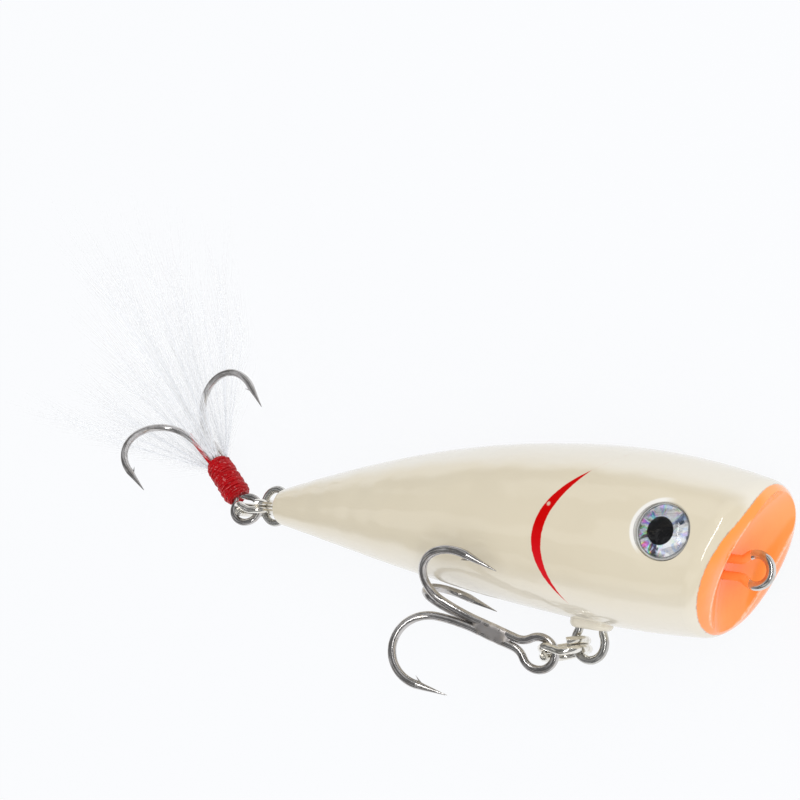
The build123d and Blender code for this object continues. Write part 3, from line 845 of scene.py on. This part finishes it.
def plume(piece, draw, root, axes, length, count):
    """One feather: a fine quill and long soft barbs that sweep towards its tip."""
    along, across, facing = axes
    bow = draw.uniform(-0.03, 0.03) * length
    droop = draw.uniform(-0.03, 0.03) * length

    def quill(u):
        bent = across * bow * math.sin(math.pi * u) + facing * droop * u * u
        return root + along * length * u + bent

    shares = [k / 30 for k in range(31)]
    line = lifted([quill(QUILL_SHARE * share) for share in shares])
    piece.tube(line, [(QUILL - 0.05 * share) * MM for share in shares], 5, 1)
    for side in (-1, 1):
        for k in range(count):
            u = 0.02 + 0.62 * (k + draw.random()) / count
            reach = length * draw.uniform(0.26, 0.52) * (1 - 0.3 * u)
            angle = math.radians(draw.uniform(3, 17)) * (1 - 0.3 * u)
            curl = draw.uniform(0.2, 0.8)
            width = draw.uniform(0.038, 0.06) * MM
            barb(piece, draw, quill(u), axes, side, reach, angle, curl, width)


def root_down(piece, draw, root, axes):
    """Short dense barbs round the feather's root."""
    along, across, _ = axes
    for k in range(70):
        side = -1 if k % 2 else 1
        spot = root + along * draw.uniform(0.0, 2.5) * MM + across * draw.uniform(-0.5, 0.5) * MM
        reach = draw.uniform(3.0, 8.0) * MM
        angle = math.radians(draw.uniform(2, 24))
        barb(piece, draw, spot, axes, side, reach, angle, 0.3, 0.07 * MM)


# The feathers fan out in one plane. One row for each: its turn in that plane, and its length as a
# share of the CAD leaf's
FAN_NORMAL = np.array((0.654, -0.087, 0.752))
FEATHERS = (
    (0.15, 0.98),
    (0.13, 1.08),
    (0.17, 1.24),
    (0.11, 1.34),
    (0.08, 1.3),
    (0.0, 1.22),
    (0.04, 1.16),
    (0.03, 1.14),
)


# One row for each plume of a feather: its lean in the fan's plane and its barbs on each side
PLUMES = ((0.0, 150), (-0.11, 75), (-0.05, 75), (0.06, 75), (0.13, 75))


def make_feathers(barbs, quill):
    """Plumes for each CAD leaf: a long dense one in the middle, shorter ones beside it."""
    draw = random.Random(23)
    for number, (turn, share) in enumerate(FEATHERS, 1):
        name = "feather_%d" % number
        root, tip, _, _ = strand_line(name)
        length = np.linalg.norm(tip - root) * share
        along = unit(tip - root)
        across = unit(np.cross(along, FAN_NORMAL))
        facing = np.cross(across, along)
        start = root - along * 0.4 * MM
        piece = Piece()
        for lean, count in PLUMES:
            spread = lean + draw.uniform(-0.02, 0.02) if lean else 0.0
            way = unit(along + across * (turn + spread) + facing * draw.uniform(-0.12, 0.12))
            reach = length * (draw.uniform(0.72, 0.97) if lean else 1.0)
            plume(piece, draw, start, (way, np.cross(facing, way), facing), reach, count)
        root_down(piece, draw, start, (along, across, facing))
        made = piece.build("plume_%d" % number, [barbs, quill])
        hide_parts(name)
        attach(made, "tail_treble")


# ---------------------------------------------------------------- stage and light
def make_floor():
    """Pale floor that is seen, and mirrored, as bright as the backdrop."""
    made, graph = material("pale_floor")
    paths = graph.node("ShaderNodeLightPath").outputs
    seen = graph.math("MAXIMUM", paths["Is Camera Ray"], paths["Is Glossy Ray"])
    seen = graph.math("MAXIMUM", seen, paths["Is Transmission Ray"])
    tone = graph.noise(graph.place()[0], 0.02, 2.0)
    colour = graph.mix(tone, (0.86, 0.865, 0.87, 1), (0.9, 0.9, 0.905, 1))
    matt = graph.node("ShaderNodeBsdfDiffuse", {"Color": colour}).outputs[0]
    bright = graph.node("ShaderNodeEmission", {"Color": WHITE, "Strength": 1.0}).outputs[0]
    graph.surface(graph.blend(graph.times(seen, 0.9), matt, bright))
    size = 3.0
    mesh = bpy.data.meshes.new("floor")
    corners = [(-size, -size, 0), (size, -size, 0), (size, size, 0), (-size, size, 0)]
    mesh.from_pydata(corners, [], [(0, 1, 2, 3)])
    mesh.materials.append(made)
    floor = bpy.data.objects.new("floor", mesh)
    floor.location = (0, 0, -0.1 * MM)
    bpy.context.scene.collection.objects.link(floor)


def make_world():
    """White backdrop; what is mirrored is a room that darkens upwards, with pale cards in it."""
    world = bpy.data.worlds.new("studio")
    bpy.context.scene.world = world
    world.use_nodes = True
    graph = Graph(world.node_tree)
    paths = graph.node("ShaderNodeLightPath").outputs
    glossy = paths["Is Glossy Ray"]
    direction = graph.node("ShaderNodeTexCoord").outputs["Generated"]
    high = graph.node("ShaderNodeSeparateXYZ", {0: direction}).outputs[2]
    room = graph.step(high, 0.02, 0.2, 1.0, 0.16)
    card = graph.step(graph.noise(direction, 1.9, 1.0), 0.5, 0.57)
    card = graph.times(card, graph.step(high, 0.25, 0.45, 0.0, 0.62))
    room = graph.math("MAXIMUM", room, card)
    plain = graph.times(graph.minus(1.0, glossy), 0.9)
    strength = graph.math("MULTIPLY_ADD", glossy, room, plain)
    seen = graph.math("MAXIMUM", paths["Is Camera Ray"], paths["Is Transmission Ray"])
    strength = graph.math("MAXIMUM", strength, seen)
    shown = graph.node("ShaderNodeBackground", {"Color": WHITE, "Strength": strength})
    graph.node("ShaderNodeOutputWorld", {"Surface": shown.outputs[0]})


def make_light():
    """One long narrow softbox above the nose."""
    spot = Vector((0.38, 0.02, 0.4))
    data = bpy.data.lights.new("strip_softbox", "AREA")
    data.shape = "RECTANGLE"
    data.size, data.size_y = 0.6, 0.035
    data.energy = 0.72
    made = bpy.data.objects.new("strip_softbox", data)
    bpy.context.scene.collection.objects.link(made)
    made.location = spot
    made.rotation_mode = "QUATERNION"
    made.rotation_quaternion = (-spot).to_track_quat("-Z", "Y")


# ---------------------------------------------------------------- the scene
def dress_nodes():
    steel = metal("drawn_steel_wire", (0.66, 0.65, 0.62), (0.48, 0.47, 0.45), 0.14)
    tie = metal(
        "part_painted_wire", (0.74, 0.73, 0.71), (0.56, 0.55, 0.53), 0.1, paint=TIE_PAINT_END
    )
    nickel = metal("nickel_plate", (0.88, 0.86, 0.81), (0.7, 0.67, 0.6), 0.07)
    dark = metal(
        "black_nickel", (0.6, 0.58, 0.57), (0.42, 0.405, 0.39), 0.1, tint=(0.56, 0.46, 0.36)
    )
    braze = metal("braze_fillet", (0.66, 0.63, 0.62), (0.5, 0.48, 0.47), 0.34, 3.0)
    inner = metal("plain_steel", (0.5, 0.5, 0.5), (0.36, 0.36, 0.36), 0.25)
    rows = (
        (body_paint(), ("right_shell", "left_shell")),
        (steel, ("belly_wire_eye", "tail_wire_eye")),
        (tie, ("line_tie_eye",)),
        (nickel, ("belly_split_ring", "tail_split_ring")),
        (dark, ("belly_double_hook", "belly_single_hook", "tail_double_hook", "tail_single_hook")),
        (braze, ("belly_hook_braze", "tail_hook_braze")),
        (inner, ("tail_weight", "rear_rattle_ball", "front_rattle_ball")),
        (eye_foil(), ("right_eye_foil", "left_eye_foil")),
        (clear_dome(), ("right_eye_dome", "left_eye_dome")),
    )
    for made, names in rows:
        for name in names:
            mesh = nodes[name].data
            mesh.materials.clear()
            mesh.materials.append(made)


bpy.context.scene.view_settings.view_transform = "Standard"
make_camera()
make_world()
make_floor()
make_light()
dress_nodes()
make_braze_run("belly")
make_wrap()
make_tag()
make_feathers(white_barbs(), white_quill())
